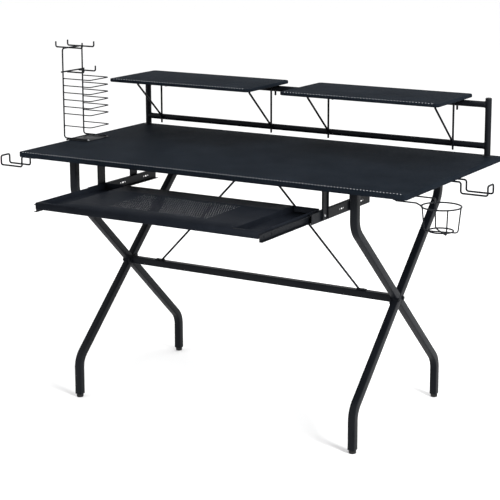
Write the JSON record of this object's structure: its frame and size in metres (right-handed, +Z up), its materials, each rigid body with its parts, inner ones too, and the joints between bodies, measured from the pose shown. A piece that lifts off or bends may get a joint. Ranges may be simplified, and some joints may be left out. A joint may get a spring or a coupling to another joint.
{
  "type": "computer desk with keyboard tray",
  "caption": "Computer desk on crossed bent-tube side frames with a pull-out keyboard tray, hook-on rear shelves, a cup holder, wire hooks and a wire rack.",
  "frame": {"origin": "middle of the whole desk's footprint with the tray pulled out, on the floor", "axes": "+X to the sitter's right, +Y to the back edge, +Z up; the sitter is on the -Y side"},
  "size_m": [1.4256, 0.876, 0.99],
  "materials": {
    "board": "fine-grained leather-look wrap over a wood core, satin",
    "steel": "black powder coat, satin",
    "tray_sheet": "blue-black powder coat, satin",
    "plastic": "black moulded plastic, matt",
    "zinc": "zinc-plated, dull"
  },
  "bodies": {
    "frame": {"brace_left": "steel", "brace_right": "steel", "cup_holder": "steel", "desktop": "board", "foot_front_left": "plastic", "foot_front_right": "plastic", "foot_rear_left": "plastic", "foot_rear_right": "plastic", "frame_bolt_front_left": "zinc", "frame_bolt_front_right": "zinc", "frame_bolt_rear_left": "zinc", "frame_bolt_rear_right": "zinc", "hanger_front_left": "steel", "hanger_front_right": "steel", "hanger_rear_left": "steel", "hanger_rear_right": "steel", "hook_left": "steel", "hook_right": "steel", "left_leg_long": "steel", "left_leg_lower": "steel", "left_leg_upper": "steel", "left_mount_bar": "steel", "lower_rail": "steel", "post_bolt_left": "zinc", "post_bolt_right": "zinc", "post_cap_left": "plastic", "post_cap_right": "plastic", "post_left": "steel", "post_right": "steel", "post_ring_left": "steel", "post_ring_right": "steel", "rack_base_plate": "steel", "rack_frame": "steel", "rack_loop_1": "steel", "rack_loop_2": "steel", "rack_loop_3": "steel", "rack_loop_4": "steel", "rack_loop_5": "steel", "rack_loop_6": "steel", "rack_loop_7": "steel", "right_leg_long": "steel", "right_leg_lower": "steel", "right_leg_upper": "steel", "right_mount_bar": "steel", "slide_outer_left": "steel", "slide_outer_right": "steel", "slide_retainer_left": "zinc", "slide_retainer_right": "zinc", "stretcher": "steel", "upper_rail": "steel"},
    "tray": {"keyboard_tray": "tray_sheet", "slide_inner_left": "steel", "slide_inner_right": "steel"},
    "shelf_left": {"bracket_left_a": "steel", "bracket_left_b": "steel", "shelf_left": "board"},
    "shelf_right": {"bracket_right_a": "steel", "bracket_right_b": "steel", "shelf_right": "board"}
  },
  "joints": [
    {"name": "tray_slide", "type": "slide", "parent": "frame", "child": "tray", "axis": [0, 1, 0], "range_m": [0, 0.245]},
    {"name": "shelf_left_slide", "type": "slide", "parent": "frame", "child": "shelf_left", "axis": [1, 0, 0], "range_m": [-0.002, 0.045]},
    {"name": "shelf_right_slide", "type": "slide", "parent": "frame", "child": "shelf_right", "axis": [1, 0, 0], "range_m": [-0.045, 0.04]}
  ]
}
